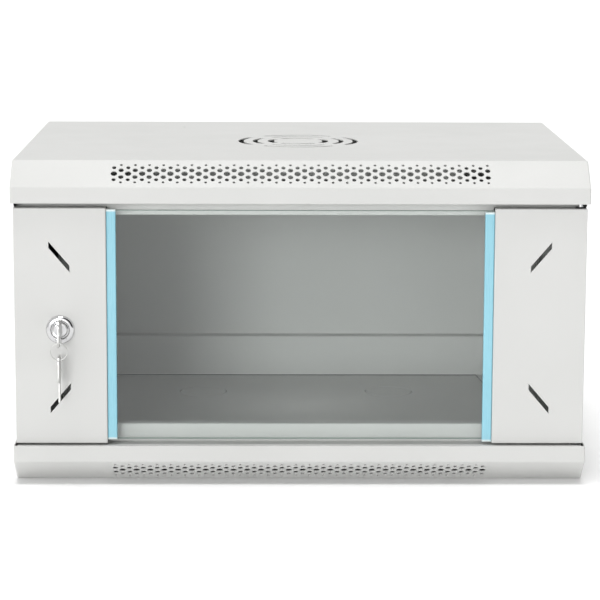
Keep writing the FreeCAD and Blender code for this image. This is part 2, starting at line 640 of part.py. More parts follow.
# ---- write every piece --------------------------------------------------------------------------
def main():
    os.makedirs("parts", exist_ok=True)
    cover = pressed_cover()
    save("top_cover", cover)
    save("bottom_cover", turned_over(cover))
    save("cover_screws", cover_screws())
    save("bottom_frame", bottom_frame())
    save("top_frame", top_frame())
    save("front_left_post", front_post(True))
    save("front_right_post", other_side(front_post(False)))
    save("rear_left_post", rear_post())
    save("rear_right_post", other_side(rear_post()))
    save("back_panel", back_panel())
    save("lower_rear_rail", lower_rear_rail())
    save("upper_rear_rail", upside_down(lower_rear_rail()))

    for side, right in (("left", False), ("right", True)):
        lower = placed([depth_bracket()], right, False)[0]
        save("lower_%s_bracket" % side, lower)
        save("upper_%s_bracket" % side, upside_down(lower))
        for end, rear in (("front", False), ("rear", True)):
            save("%s_%s_rail" % (end, side), placed([mounting_rail()], right, rear)[0])
            save("%s_%s_rail_bolts" % (end, side), placed(rail_bolts(), right, rear))
            save("%s_%s_rail_nuts" % (end, side), placed(rail_nuts(), right, rear))
        save("%s_side_panel" % side, placed([side_panel()], right, False)[0])
        save("%s_panel_latch" % side, placed([panel_latch()], right, False)[0])
        save("%s_glass_clamp" % side, placed([glass_clamp()], right, False)[0])

    save("door_left_stile", left_stile())
    save("door_right_stile", right_stile())
    save("door_glass", door_glass())
    save("left_glass_trim", glass_trim(-1, LEFT_TRIM_BOTTOM))
    save("right_glass_trim", glass_trim(1, RIGHT_TRIM_BOTTOM))
    save("clamp_nuts", clamp_nuts())
    save("hinge_bushes", hinge_bushes())
    save("lower_hinge_pin", lower_hinge_pin())
    save("upper_hinge_pin", upper_hinge_pin())

    save("lock_body", lock_body())
    save("lock_nut", lock_nut())
    save("lock_cylinder", lock_cylinder())
    save("lock_cam", lock_cam())
    save("cam_screw", cam_screw())
    save("door_key", door_key())
    save("key_ring", key_ring())
    save("spare_key", spare_key())


main()
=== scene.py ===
# %% [markdown]
# # A wall-mounted network rack cabinet
# The cabinet is a welded and bolted box of bent sheet steel. Two alike covers close it above and
# below, a glass door with two steel stiles closes the front, and side panels tilt out for access.
# The engineering model is already finished: it holds every piece at its true size and place. This
# lesson turns those pieces into the real surfaces: pressed and painted sheet, zinc plated bolts,
# chrome, safety glass and a blue plastic trim.

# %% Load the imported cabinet
import json
import math
import bpy
import bmesh
from mathutils import Matrix, Vector

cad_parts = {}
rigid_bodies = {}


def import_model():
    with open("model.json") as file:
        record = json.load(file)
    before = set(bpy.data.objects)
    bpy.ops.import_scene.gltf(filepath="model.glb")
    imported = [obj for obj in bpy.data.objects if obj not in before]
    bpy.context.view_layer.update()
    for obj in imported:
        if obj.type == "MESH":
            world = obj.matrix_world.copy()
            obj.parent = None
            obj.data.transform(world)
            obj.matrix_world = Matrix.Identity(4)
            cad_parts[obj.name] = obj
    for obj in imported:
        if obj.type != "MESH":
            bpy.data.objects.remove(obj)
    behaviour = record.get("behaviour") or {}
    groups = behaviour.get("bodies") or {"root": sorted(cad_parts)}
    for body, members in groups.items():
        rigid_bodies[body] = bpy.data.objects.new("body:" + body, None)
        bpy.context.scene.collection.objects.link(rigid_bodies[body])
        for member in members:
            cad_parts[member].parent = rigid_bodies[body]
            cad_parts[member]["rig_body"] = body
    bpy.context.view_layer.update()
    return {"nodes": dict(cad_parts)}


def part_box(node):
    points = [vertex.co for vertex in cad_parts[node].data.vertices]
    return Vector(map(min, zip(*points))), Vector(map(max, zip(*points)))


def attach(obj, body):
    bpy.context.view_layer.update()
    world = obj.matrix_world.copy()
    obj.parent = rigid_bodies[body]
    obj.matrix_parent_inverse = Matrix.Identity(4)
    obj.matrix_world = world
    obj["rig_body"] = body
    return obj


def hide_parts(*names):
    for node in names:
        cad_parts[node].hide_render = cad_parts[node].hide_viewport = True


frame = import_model()
scene = bpy.context.scene
MM = 0.001

# %% [markdown]
# ## Sizes
# A bent sheet has two sizes that decide how it looks: its thickness and the radius of its bends.
# A press brake leaves an outside radius of about one and a half times the thickness, and the pressed
# covers have that. The folds of the other pieces are smaller here, for a reason given with them. A
# cut edge has only the small rounding that the powder coat gives it. The cabinet's own sizes and the
# places of its fasteners repeat the model's, and the boxes of single pieces are read from it.

# %% Sizes of the cabinet and its sheet
WIDTH = 600 * MM
DEPTH = 450 * MM
HEIGHT = 340 * MM
SKIN = 1.2 * MM
PLATE = 1.5 * MM
BEND = 1.9 * MM
COATED_EDGE = 0.25 * MM
LIP_HEIGHT = 17 * MM
BEVEL_RISE = 25 * MM
BEVEL_RUN = 30 * MM
COVER_HEIGHT = LIP_HEIGHT + BEVEL_RISE
FRONT = -DEPTH / 2
REAR = DEPTH / 2
MIDDLE = HEIGHT / 2
print("cabinet", WIDTH, "x", DEPTH, "x", HEIGHT, "m")

# %% [markdown]
# ## The camera
# The cabinet is shown from in front and a little above, from a little over two and a half metres.
# A long lens keeps the upright edges nearly parallel, as in a catalogue. The camera is set by its
# place and three turns, because it looks almost, but not exactly, along the depth of the cabinet.

# %% Camera in front of the cabinet
camera_data = bpy.data.cameras.new("catalogue_camera")
camera_data.lens = 143.67
camera_data.sensor_width = 36.0
camera_data.clip_end = 200.0
camera = bpy.data.objects.new("catalogue_camera", camera_data)
scene.collection.objects.link(camera)
CAMERA_AT = Vector((-0.03657, -2.67555, 0.61711))
CAMERA_TURNS = (("Z", -0.843), ("X", -9.713), ("Y", -0.225), ("X", 90.0))
turn = Matrix.Identity(4)
for axis, degrees in CAMERA_TURNS:
    turn = turn @ Matrix.Rotation(math.radians(degrees), 4, axis)
camera.matrix_world = Matrix.Translation(CAMERA_AT) @ turn
scene.camera = camera
print("camera", round((CAMERA_AT - Vector((0, FRONT, MIDDLE))).length, 2), "m from the door")

# %% [markdown]
# ## Floor and light
# Soft lights do the work, as in a small studio. A white surround fills every shadow; it has a
# darker window at the upper right, which chrome needs to look like chrome, and a wide soft box low
# in front, which fills the inside. A wide lamp overhead makes the floor and the top bright. A low
# one from the left of the lens reaches through the glass onto the back of the cabinet, and leaves
# the inside darker behind the left stile.

# %% White surround with a soft box, floor and two soft lamps
SURROUND = 0.80
SOFT_BOX = 1.15
BOX_MIDDLE = (-0.1, -1.0, 0.12)
GREY_WINDOW = (0.62, -0.66, 0.42)
WINDOW_GREY = 0.04
OVERHEAD = 1.6
FRONTAL = 1.0
FLOOR_REACH = 60.0
scene.view_settings.view_transform = "Standard"


def share_towards(tree, direction, aim, near, far, outside, inside):
    """Fades from inside, about the direction aimed at, to outside; near and far are cosines."""
    toward = tree.nodes.new("ShaderNodeVectorMath")
    toward.operation = "DOT_PRODUCT"
    toward.inputs[1].default_value = Vector(aim).normalized()
    tree.links.new(direction, toward.inputs[0])
    fade = tree.nodes.new("ShaderNodeMapRange")
    ends = (("From Min", far), ("From Max", near), ("To Min", outside), ("To Max", inside))
    for socket, value in ends:
        fade.inputs[socket].default_value = value
    tree.links.new(toward.outputs["Value"], fade.inputs["Value"])
    return fade.outputs["Result"]


def white_surround(strength, box_strength):
    """Even white with a grey window at the upper right, and a wide soft box low in front."""
    world = bpy.data.worlds.new("white_surround")
    world.use_nodes = True
    tree = world.node_tree
    direction = tree.nodes.new("ShaderNodeTexCoord").outputs["Generated"]
    even = share_towards(tree, direction, GREY_WINDOW, near=0.84, far=0.76,
                         outside=strength, inside=WINDOW_GREY)
    box = share_towards(tree, direction, BOX_MIDDLE, near=0.95, far=0.80,
                        outside=0.0, inside=box_strength)
    both = tree.nodes.new("ShaderNodeMath")
    tree.links.new(even, both.inputs[0])
    tree.links.new(box, both.inputs[1])
    tree.links.new(both.outputs[0], tree.nodes["Background"].inputs["Color"])
    return world


def pale_floor(reach):
    """Flat square far wider than the picture."""
    mesh = bpy.data.meshes.new("floor")
    corners = [(-reach, -reach, 0), (reach, -reach, 0), (reach, reach, 0), (-reach, reach, 0)]
    mesh.from_pydata(corners, [], [(0, 1, 2, 3)])
    floor = bpy.data.objects.new("floor", mesh)
    scene.collection.objects.link(floor)
    paint = bpy.data.materials.new("floor_paper")
    paint.use_nodes = True
    shader = paint.node_tree.nodes["Principled BSDF"]
    shader.inputs["Base Color"].default_value = (0.92, 0.92, 0.92, 1)
    shader.inputs["Roughness"].default_value = 0.9
    shader.inputs["Specular IOR Level"].default_value = 0.1
    mesh.materials.append(paint)
    return floor


def soft_lamp(name, aside, height, spread, strength):
    """A far lamp that looks spread degrees wide, aside of the lens and at a height, in degrees."""
    lamp_data = bpy.data.lights.new(name, "SUN")
    lamp_data.angle = math.radians(spread)
    lamp_data.energy = strength
    lamp = bpy.data.objects.new(name, lamp_data)
    scene.collection.objects.link(lamp)
    aside, height = math.radians(aside), math.radians(height)
    level = math.cos(height)
    away = Vector((math.sin(aside) * level, -math.cos(aside) * level, math.sin(height)))
    lamp.rotation_euler = away.to_track_quat("Z", "Y").to_euler()
    return lamp


scene.world = white_surround(SURROUND, SOFT_BOX)
pale_floor(FLOOR_REACH)
soft_lamp("overhead_lamp", aside=-20.0, height=84.0, spread=22.0, strength=OVERHEAD)
soft_lamp("frontal_lamp", aside=-14.0, height=6.0, spread=18.0, strength=FRONTAL)
print("surround, floor and two lamps are in place")

# %% [markdown]
# ## A small kit for node trees
# Paint and repeated parts are both made with node trees. Adding a node always takes the same three
# steps: make it, set its options, and feed its sockets. One helper does all three, so that each
# finish below reads as a short recipe.


# %% Helpers for node trees
def put(tree, kind, feeds=None, **options):
    """Adds a node, sets its options and feeds its sockets with links or plain values."""
    made = tree.nodes.new(kind)
    for option, value in options.items():
        setattr(made, option, value)
    for socket, value in (feeds or {}).items():
        for source in value if isinstance(value, list) else [value]:
            if isinstance(source, bpy.types.NodeSocket):
                tree.links.new(source, made.inputs[socket])
            else:
                made.inputs[socket].default_value = source
    return made


def reckon(tree, operation, *values):
    """One step of arithmetic, done by a node."""
    return put(tree, "ShaderNodeMath", dict(enumerate(values)), operation=operation).outputs[0]


def new_finish(name):
    """A material with a Principled shader, and the object's own coordinates."""
    finish = bpy.data.materials.new(name)
    finish.use_nodes = True
    tree = finish.node_tree
    shader = tree.nodes["Principled BSDF"]
    place = put(tree, "ShaderNodeTexCoord").outputs["Object"]
    return finish, tree, shader, place


def grain(tree, place, size, detail=2.0, stretch=(1, 1, 1)):
    """Noise whose features are about size metres across."""
    spread = put(tree, "ShaderNodeMapping", {"Vector": place, "Scale": stretch}).outputs["Vector"]
    noise = put(tree, "ShaderNodeTexNoise", {"Vector": spread, "Scale": 1 / size, "Detail": detail})
    return noise.outputs["Fac"]


def between(tree, share, low, high):
    """Spreads a noise, which stays mostly between 0.3 and 0.7, over a range of values."""
    return put(tree, "ShaderNodeMapRange", {"Value": share, "From Min": 0.3, "From Max": 0.7,
                                            "To Min": low, "To Max": high}).outputs["Result"]


def tinted(tree, share, dark, light):
    """Two colours, mixed by a noise."""
    ramp = put(tree, "ShaderNodeValToRGB", {"Fac": share})
    ramp.color_ramp.elements[0].position = 0.3
    ramp.color_ramp.elements[0].color = (*dark, 1)
    ramp.color_ramp.elements[1].position = 0.7
    ramp.color_ramp.elements[1].color = (*light, 1)
    return ramp.outputs["Color"]


def bumped(tree, height, distance, strength, under=None):
    """Fine relief, laid over the relief under it if there is one."""
    feeds = {"Height": height, "Distance": distance, "Strength": strength}
    if under is not None:
        feeds["Normal"] = under
    return put(tree, "ShaderNodeBump", feeds).outputs["Normal"]


print("node helpers are ready")

# %% [markdown]
# ## Powder coat
# The sheet is powder coated in a light warm grey. Powder melts into a skin with a faint orange peel
# about a millimetre across, and a finer grain on top of it. The colour drifts very little over a
# panel. Fingers leave slightly shinier patches, so the gloss drifts as well. A piece that stands on
# the floor plate gets a dark line painted along its foot: painted shade for the shadow in the gap there.


# %% Light grey powder coat
FLOOR_TOP = 30.1 * MM


def powder_coat(name, painted_foot_shade_top=None):
    """Coat for sheet; below the given top height it paints a dark line, painted shade for the gap at a
    piece's foot.
    """
    finish, tree, shader, place = new_finish(name)
    drift = grain(tree, place, 0.14, detail=3)
    fine = grain(tree, place, 0.0006, detail=1)
    peel = grain(tree, place, 0.0022, detail=2)
    panel = tinted(tree, drift, (0.577, 0.580, 0.566), (0.600, 0.601, 0.589))
    speck = tinted(tree, fine, (0.955, 0.955, 0.955), (1.0, 1.0, 1.0))
    colour = put(tree, "ShaderNodeMix", data_type="RGBA", blend_type="MULTIPLY")
    tree.links.new(panel, colour.inputs[6])
    tree.links.new(speck, colour.inputs[7])
    colour.inputs[0].default_value = 1.0
    coat = colour.outputs[2]
    # Painted shade: below the top height the colour turns near black, standing in for the shadow in the gap
    # at the foot.
    if painted_foot_shade_top:
        height = put(tree, "ShaderNodeSeparateXYZ", {"Vector": place}).outputs["Z"]
        painted_foot_shade = put(tree, "ShaderNodeMapRange", {"Value": height, "From Min": painted_foot_shade_top - 0.0002,
                                                 "From Max": painted_foot_shade_top, "To Min": 1.0, "To Max": 0.0})
        darkened = put(tree, "ShaderNodeMix", data_type="RGBA")
        tree.links.new(painted_foot_shade.outputs["Result"], darkened.inputs[0])
        tree.links.new(coat, darkened.inputs[6])
        darkened.inputs[7].default_value = (0.05, 0.05, 0.05, 1)
        coat = darkened.outputs[2]
    tree.links.new(coat, shader.inputs["Base Color"])
    handled = grain(tree, place, 0.05, detail=4)
    tree.links.new(between(tree, handled, 0.50, 0.62), shader.inputs["Roughness"])
    shader.inputs["Specular IOR Level"].default_value = 0.32
    soft = bumped(tree, peel, 0.00005, 0.25)
    tree.links.new(bumped(tree, fine, 0.00003, 0.3, under=soft), shader.inputs["Normal"])
    return finish


PAINT = powder_coat("light_grey_powder_coat")
# Height of the painted shade line along the foot of pieces on the floor plate; the second coat carries it.
FOOT_SHADE_HEIGHT = 1.35 * MM
PAINT_WITH_FOOT_SHADE = powder_coat("powder_coat_with_painted_foot_shade", painted_foot_shade_top=FLOOR_TOP + FOOT_SHADE_HEIGHT)
print("powder coat:", len(PAINT.node_tree.nodes), "nodes, and", len(PAINT_WITH_FOOT_SHADE.node_tree.nodes),
      "with a joint")

# %% [markdown]
# ## Bare metals
# Four metals show. The bolts, rails' fasteners and pins are bright zinc plated, with a faint play of
# blue and straw. The lock's face is chrome, almost a mirror, with a little haze from handling. The
# keys are nickel plated and finely scratched along their length. The side latches are zinc castings
# with a satin plating. One recipe makes all four: two tints, a range of gloss, and a grain.


# %% Zinc, chrome, nickel and cast zinc
def bare_metal(name, dark, light, dull, shiny, size, stretch=(1, 1, 1), relief=0.00002):
    """Plated metal between two tints and two glosses; size is that of its grain, in metres."""
    finish, tree, shader, place = new_finish(name)
    shader.inputs["Metallic"].default_value = 1.0
    patches = grain(tree, place, 0.006, detail=3)
    tree.links.new(tinted(tree, patches, dark, light), shader.inputs["Base Color"])
    lines = grain(tree, place, size, detail=2, stretch=stretch)
    tree.links.new(between(tree, lines, shiny, dull), shader.inputs["Roughness"])
    tree.links.new(bumped(tree, lines, relief, 0.25), shader.inputs["Normal"])
    return finish


ZINC = bare_metal("bright_zinc_plate", (0.60, 0.60, 0.56), (0.64, 0.66, 0.70), 0.42, 0.26, 0.0009)
CHROME = bare_metal("polished_chrome", (0.60, 0.60, 0.61), (0.68, 0.68, 0.68), 0.12, 0.05, 0.004,
                    relief=0.000004)
NICKEL = bare_metal("nickel_plated_key", (0.56, 0.56, 0.54), (0.66, 0.66, 0.65), 0.40, 0.28, 0.0012,
                    stretch=(1, 1, 0.12), relief=0.00001)
CAST_ZINC = bare_metal("satin_zinc_casting", (0.60, 0.60, 0.61), (0.68, 0.68, 0.69), 0.46, 0.34, 0.0007)
print("metals:", ZINC.name, CHROME.name, NICKEL.name, CAST_ZINC.name)

# %% [markdown]
# ## Plastics
# The trim along the glass is an extruded light blue plastic, slightly milky, so light sinks in a
# little. It is paler over the last millimetres at each end. The hinge bushes are black nylon with a
# dull mould texture. Both get a fine relief, because moulded and extruded skins are never optically flat.


# %% Blue trim and black nylon
def blue_trim(low, high):
    """Extruded blue plastic, paler over the last two millimetres at each end."""
    finish, tree, shader, place = new_finish("light_blue_trim_plastic")
    skin = tinted(tree, grain(tree, place, 0.03, detail=3), (0.260, 0.540, 0.640), (0.277, 0.564, 0.666))
    height = put(tree, "ShaderNodeSeparateXYZ", {"Vector": place}).outputs["Z"]
    middle = (low + high) / 2
    away = reckon(tree, "SUBTRACT", height, middle)
    from_middle = reckon(tree, "ABSOLUTE", away)
    half = (high - low) / 2
    end = put(tree, "ShaderNodeMapRange", {"Value": from_middle, "From Min": half - 0.003,
                                           "From Max": half - 0.0012}).outputs["Result"]
    colour = put(tree, "ShaderNodeMix", data_type="RGBA")
    tree.links.new(end, colour.inputs[0])
    tree.links.new(skin, colour.inputs[6])
    colour.inputs[7].default_value = (0.70, 0.79, 0.79, 1)
    tree.links.new(colour.outputs[2], shader.inputs["Base Color"])
    drawn = grain(tree, place, 0.0008, detail=2, stretch=(1, 1, 0.03))
    tree.links.new(between(tree, drawn, 0.24, 0.36), shader.inputs["Roughness"])
    tree.links.new(bumped(tree, drawn, 0.00002, 0.2), shader.inputs["Normal"])
    shader.inputs["Subsurface Weight"].default_value = 0.15
    shader.inputs["Subsurface Radius"].default_value = (0.6, 0.9, 1.0)
    shader.inputs["Subsurface Scale"].default_value = 0.0015
    return finish


def black_nylon():
    """Moulded black plastic with a dull texture."""
    finish, tree, shader, place = new_finish("black_nylon")
    mould = grain(tree, place, 0.0005, detail=2)
    shade = tinted(tree, mould, (0.018, 0.018, 0.019), (0.032, 0.032, 0.034))
    tree.links.new(shade, shader.inputs["Base Color"])
    tree.links.new(between(tree, mould, 0.5, 0.66), shader.inputs["Roughness"])
    tree.links.new(bumped(tree, mould, 0.00004, 0.4), shader.inputs["Normal"])
    return finish


NYLON = black_nylon()
print("plastics:", NYLON.name, "and one trim finish for each strip")

# %% [markdown]
# ## Safety glass
# The pane is four millimetres thick. Seen square on it lets nearly all light through and mirrors
# about four hundredths at each face, more at a slant. Mixing a clear and a mirror layer by the slant
# gives just that, and lets lamps shine through, which a refracting solid would block. The ground
# edges are a dense green, because there the light has run a long way inside the glass.


# %% Clear pane and green ground edge
def clear_pane():
    """Clear layer and mirror layer, mixed by how slanted the view is."""
    finish = bpy.data.materials.new("clear_safety_glass")
    finish.use_nodes = True
    tree = finish.node_tree
    tree.nodes.remove(tree.nodes["Principled BSDF"])
    output = tree.nodes["Material Output"]
    place = put(tree, "ShaderNodeTexCoord").outputs["Object"]
    slant = put(tree, "ShaderNodeLayerWeight", {"Blend": 0.5}).outputs["Facing"]
    fifth = reckon(tree, "POWER", slant, 5.0)
    mirrored = reckon(tree, "MULTIPLY_ADD", fifth, 0.96, 0.04)
    smear = grain(tree, place, 0.035, detail=4)
    clear = put(tree, "ShaderNodeBsdfTransparent", {"Color": (0.978, 0.994, 0.989, 1)})
    mirror = put(tree, "ShaderNodeBsdfAnisotropic", {"Color": (1, 1, 1, 1),
                                                     "Roughness": between(tree, smear, 0.015, 0.07)})
    mix = put(tree, "ShaderNodeMixShader", {0: mirrored, 1: clear.outputs[0], 2: mirror.outputs[0]})
    tree.links.new(mix.outputs[0], output.inputs["Surface"])
    return finish


def ground_glass_edge():
    """Dense green edge with the marks of the grinding wheel."""
    finish, tree, shader, place = new_finish("ground_glass_edge")
    wheel = grain(tree, place, 0.0012, detail=3)
    tree.links.new(tinted(tree, wheel, (0.19, 0.25, 0.23), (0.27, 0.34, 0.31)), shader.inputs["Base Color"])
    tree.links.new(between(tree, wheel, 0.25, 0.45), shader.inputs["Roughness"])
    tree.links.new(bumped(tree, wheel, 0.00003, 0.3), shader.inputs["Normal"])
    return finish


PANE = clear_pane()
PANE_EDGE = ground_glass_edge()
print("glass:", PANE.name, PANE_EDGE.name)

# %% [markdown]
# ## Handing a piece over
# Every piece stands for one piece of the engineering model and moves with the same body. Before
# that, its modifiers are turned into plain mesh, and its shading is evened: broad faces stay flat
# while narrow rounded ones carry the curve, and sharp inner corners stay sharp.


# %% Helpers that finish a piece
SHARP_FROM = 32.0


def object_from(bm, name, *finishes):
    """A linked object at the origin, made from a bmesh, with its finishes."""
    mesh = bpy.data.meshes.new(name)
    bm.to_mesh(mesh)
    bm.free()
    for finish in finishes:
        mesh.materials.append(finish)
    piece = bpy.data.objects.new(name, mesh)
    scene.collection.objects.link(piece)
    return piece


def settle(piece):
    """Turns a piece and its modifiers into one plain mesh."""
    bpy.context.view_layer.update()
    seen = piece.evaluated_get(bpy.context.evaluated_depsgraph_get())
    mesh = bpy.data.meshes.new_from_object(seen)
    piece.modifiers.clear()
    old = piece.data
    piece.data = mesh
    mesh.name = piece.name
    bpy.data.meshes.remove(old)
    return piece


def settle_evenly(piece):
    """Settles a piece with normals that keep its broad faces flat."""
    weigh = piece.modifiers.new("even_shading", "WEIGHTED_NORMAL")
    weigh.keep_sharp = True
    return settle(piece)


def even_shading(piece, crease=SHARP_FROM):
    """Smooth over small bends and sharp over large ones; the crease is in degrees."""
    piece.data.shade_smooth()
    piece.data.set_sharp_from_angle(angle=math.radians(crease))
    return settle_evenly(piece)


def hand_over(piece, node):
    """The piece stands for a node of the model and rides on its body."""
    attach(piece, frame["nodes"][node]["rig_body"])
    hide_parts(node)
    return piece


print("piece helpers are ready")

# %% [markdown]
# ## Bent and cut sheet
# Most pieces are sheet that was cut flat and then folded. The model has them with sharp corners. A
# real fold is rounded, and a cut edge carries a bead of paint. Both can be found from the shape
# itself: where two broad faces meet in an outside corner there is a fold, and where one of the
# faces is only as wide as the sheet there is a cut edge. A bevel with a weight on each edge rounds
# them by different amounts. A fold's rounding and the bead beside it must fit in the thickness of
# the sheet together, or the end of a fold would run out past the piece.


# %% Round the folds and edges of a model piece
DOUBLED_WITHIN = 0.002 * MM
FLAT_WITHIN = 0.6
BROAD_FROM = 1.9 * MM


def merged_copy(node):
    """The node's triangles, joined into whole flat faces."""
    bm = bmesh.new()
    bm.from_mesh(frame["nodes"][node].data)
    bmesh.ops.remove_doubles(bm, verts=bm.verts[:], dist=DOUBLED_WITHIN)
    bmesh.ops.dissolve_limit(bm, angle_limit=math.radians(FLAT_WITHIN), verts=bm.verts[:], edges=bm.edges[:])
    for layer in list(bm.loops.layers.uv):
        bm.loops.layers.uv.remove(layer)
    for face in bm.faces:
        face.material_index = 0
    return bm


def breadth(face):
    """Rough width of a face: its area over its longest edge."""
    return face.calc_area() / max(edge.calc_length() for edge in face.edges)


def softened(node, ending, finish, fold, edge_round=COATED_EDGE):
    """A copy of the node with its folds and cut edges rounded."""
    bm = merged_copy(node)
    weight = bm.edges.layers.float.new("bevel_weight_edge")
    widths = {face: breadth(face) for face in bm.faces}
    folds = 0
    for edge in bm.edges:
        if len(edge.link_faces) != 2:
            continue
        corner = math.degrees(edge.calc_face_angle_signed())
        edge.smooth = abs(corner) < SHARP_FROM
        if corner < SHARP_FROM:
            continue
        broad = min(widths[face] for face in edge.link_faces) > BROAD_FROM
        if fold and broad and edge.calc_length() > 4 * BROAD_FROM:
            edge[weight] = 1.0
            folds += 1
        else:
            edge[weight] = edge_round / max(fold, edge_round)
    piece = object_from(bm, node + "_" + ending, finish)
    drop_normals(piece.data)
    rounding = piece.modifiers.new("rounding", "BEVEL")
    rounding.limit_method = "WEIGHT"
    rounding.width = max(fold, edge_round)
    rounding.segments = 2
    rounding.use_clamp_overlap = False
    for face in piece.data.polygons:
        face.use_smooth = True
    settle_evenly(piece)
    hand_over(piece, node)
    return piece, folds


def drop_normals(mesh):
    """Forgets the stored normals of an imported mesh."""
    stored = mesh.attributes.get("custom_normal")
    if stored:
        mesh.attributes.remove(stored)


SHEET_NODES = ("bottom_frame", "top_frame", "front_left_post", "front_right_post", "rear_left_post",
               "rear_right_post", "back_panel", "lower_rear_rail", "upper_rear_rail", "lower_left_bracket",
               "upper_left_bracket", "lower_right_bracket", "upper_right_bracket", "front_left_rail",
               "front_right_rail", "rear_left_rail", "rear_right_rail", "left_side_panel",
               "right_side_panel", "door_left_stile", "door_right_stile")
THIN_SHEET = ("back_panel", "left_side_panel", "right_side_panel", "door_left_stile", "door_right_stile")
ON_THE_FLOOR = ("lower_rear_rail", "lower_left_bracket", "lower_right_bracket")
for node in SHEET_NODES:
    coat = PAINT_WITH_FOOT_SHADE if node in ON_THE_FLOOR else PAINT
    thickness = SKIN if node in THIN_SHEET else PLATE
    piece, folds = softened(node, "sheet", coat, fold=thickness - 1.5 * COATED_EDGE)
    print("%-22s %3d folds %6d faces" % (piece.name, folds, len(piece.data.polygons)))

# %% [markdown]
# ## Small plated pieces
# The clamps, nuts, pins, cam and latches are pressed, turned or cast. They have no folds worth a
# large radius, so only their edges are eased. The keys are stamped from flat nickel silver and
# tumbled, which leaves all their edges soft.

# %% Ease the edges of the small pieces
SMALL_PIECES = (
    ("left_glass_clamp", "bar", ZINC, "zinc_steel", 0.2),
    ("right_glass_clamp", "bar", ZINC, "zinc_steel", 0.2),
    ("lower_hinge_pin", "turning", ZINC, "zinc_steel", 0.3),
    ("upper_hinge_pin", "turning", ZINC, "zinc_steel", 0.3),
    ("hinge_bushes", "moulding", NYLON, "nylon", 0.2),
    ("lock_nut", "turning", ZINC, "zinc_steel", 0.3),
    ("lock_cam", "stamping", ZINC, "zinc_steel", 0.25),
    ("cam_screw", "turning", ZINC, "zinc_steel", 0.3),
    ("door_key", "stamping", NICKEL, "key_steel", 0.3),
    ("spare_key", "stamping", NICKEL, "key_steel", 0.3),
    ("left_panel_latch", "casting", CAST_ZINC, "latch_zinc", 0.35),
    ("right_panel_latch", "casting", CAST_ZINC, "latch_zinc", 0.35))
for node, ending, finish, slot, ease in SMALL_PIECES:
    piece, _ = softened(node, ending, finish, fold=0, edge_round=ease * MM)
    print("%-28s %5d faces" % (piece.name, len(piece.data.polygons)))

# %% [markdown]
# ## The pressed covers
# The upper and the lower cover are the same pressing: an open tray with a bevel along its front.
# The bevel is punched with a band of small round holes that grow towards its middle, and the flat
# has rings of curved slots for a fan. The tray is made first as a skin of six faces, rounded at its
# bends, and then given the thickness of the sheet.


# %% Tray with rounded bends
def cover_tray():
    """Upper cover without its holes."""
    bm = bmesh.new()
    low = HEIGHT - COVER_HEIGHT
    profile = ((FRONT, low), (FRONT, HEIGHT - BEVEL_RISE), (FRONT + BEVEL_RUN, HEIGHT),
               (REAR, HEIGHT), (REAR, low))
    sides = [[bm.verts.new((side * WIDTH / 2, y, z)) for y, z in profile] for side in (-1, 1)]
    for i in range(len(profile) - 1):
        bm.faces.new((sides[0][i], sides[1][i], sides[1][i + 1], sides[0][i + 1]))
    bm.faces.new(list(reversed(sides[0])))
    bm.faces.new(sides[1])
    bmesh.ops.recalc_face_normals(bm, faces=bm.faces[:])
    top = max(bm.faces, key=lambda face: face.calc_center_median().z)
    if top.normal.z < 0:
        bmesh.ops.reverse_faces(bm, faces=bm.faces[:])
    weight = bm.edges.layers.float.new("bevel_weight_edge")
    for edge in bm.edges:
        if len(edge.link_faces) == 2:
            edge[weight] = 1.0 if edge.calc_face_angle() > 1.2 else 0.6
    tray = object_from(bm, "top_cover_pressing", PAINT)
    bends = tray.modifiers.new("bends", "BEVEL")
    bends.limit_method = "WEIGHT"
    bends.width = BEND
    bends.segments = 4
    wall = tray.modifiers.new("wall", "SOLIDIFY")
    wall.thickness = SKIN
    wall.offset = -1.0
    wall.use_even_offset = True
    return settle(tray)


tray = cover_tray()
print("tray:", len(tray.data.polygons), "faces, size", [round(side, 4) for side in tray.dimensions])

# %% [markdown]
# ## Punching the holes
# Nearly two hundred holes follow a rule, so a Geometry Nodes recipe places them: seven rows of
# punches along the bevel, with their own radius and distance from its middle. Odd and even columns
# are staggered, which gives the honeycomb look. A second recipe sweeps a short bar along an arc for
# each fan slot. All punches are taken out of the tray in one Boolean.


# %% Recipe helpers
def new_recipe(name, *inputs):
    """A Geometry Nodes tree with named inputs: (name, socket type, start value)."""
    recipe = bpy.data.node_groups.new(name, "GeometryNodeTree")
    recipe.interface.new_socket("Geometry", in_out="INPUT", socket_type="NodeSocketGeometry")
    for label, kind, value in inputs:
        socket = recipe.interface.new_socket(label, in_out="INPUT", socket_type="NodeSocket" + kind)
        if value is not None:
            socket.default_value = value
    recipe.interface.new_socket("Geometry", in_out="OUTPUT", socket_type="NodeSocketGeometry")
    given = put(recipe, "NodeGroupInput").outputs
    return recipe, given


def close_recipe(recipe, geometry, material):
    """Every recipe ends in real geometry with its finish."""
    real = put(recipe, "GeometryNodeRealizeInstances", {"Geometry": geometry}).outputs[0]
    coated = put(recipe, "GeometryNodeSetMaterial", {"Geometry": real, "Material": material}).outputs[0]
    put(recipe, "NodeGroupOutput", {"Geometry": coated})
    return recipe


def follow(piece, recipe, **values):
    """Runs a recipe on a piece and keeps the result as plain mesh. Underscores stand for spaces."""
    modifier = piece.modifiers.new(recipe.name, "NODES")
    modifier.node_group = recipe
    names = {item.name: item.identifier for item in recipe.interface.items_tree
             if item.item_type == "SOCKET" and item.in_out == "INPUT"}
    for label, value in values.items():
        modifier[names[label.replace("_", " ")]] = value
    return settle(piece)


def copied(recipe, points, instance, rotation):
    """A copy of the instance on every point, turned by the rotation."""
    feeds = {"Points": points, "Instance": instance, "Rotation": rotation}
    return put(recipe, "GeometryNodeInstanceOnPoints", feeds).outputs[0]


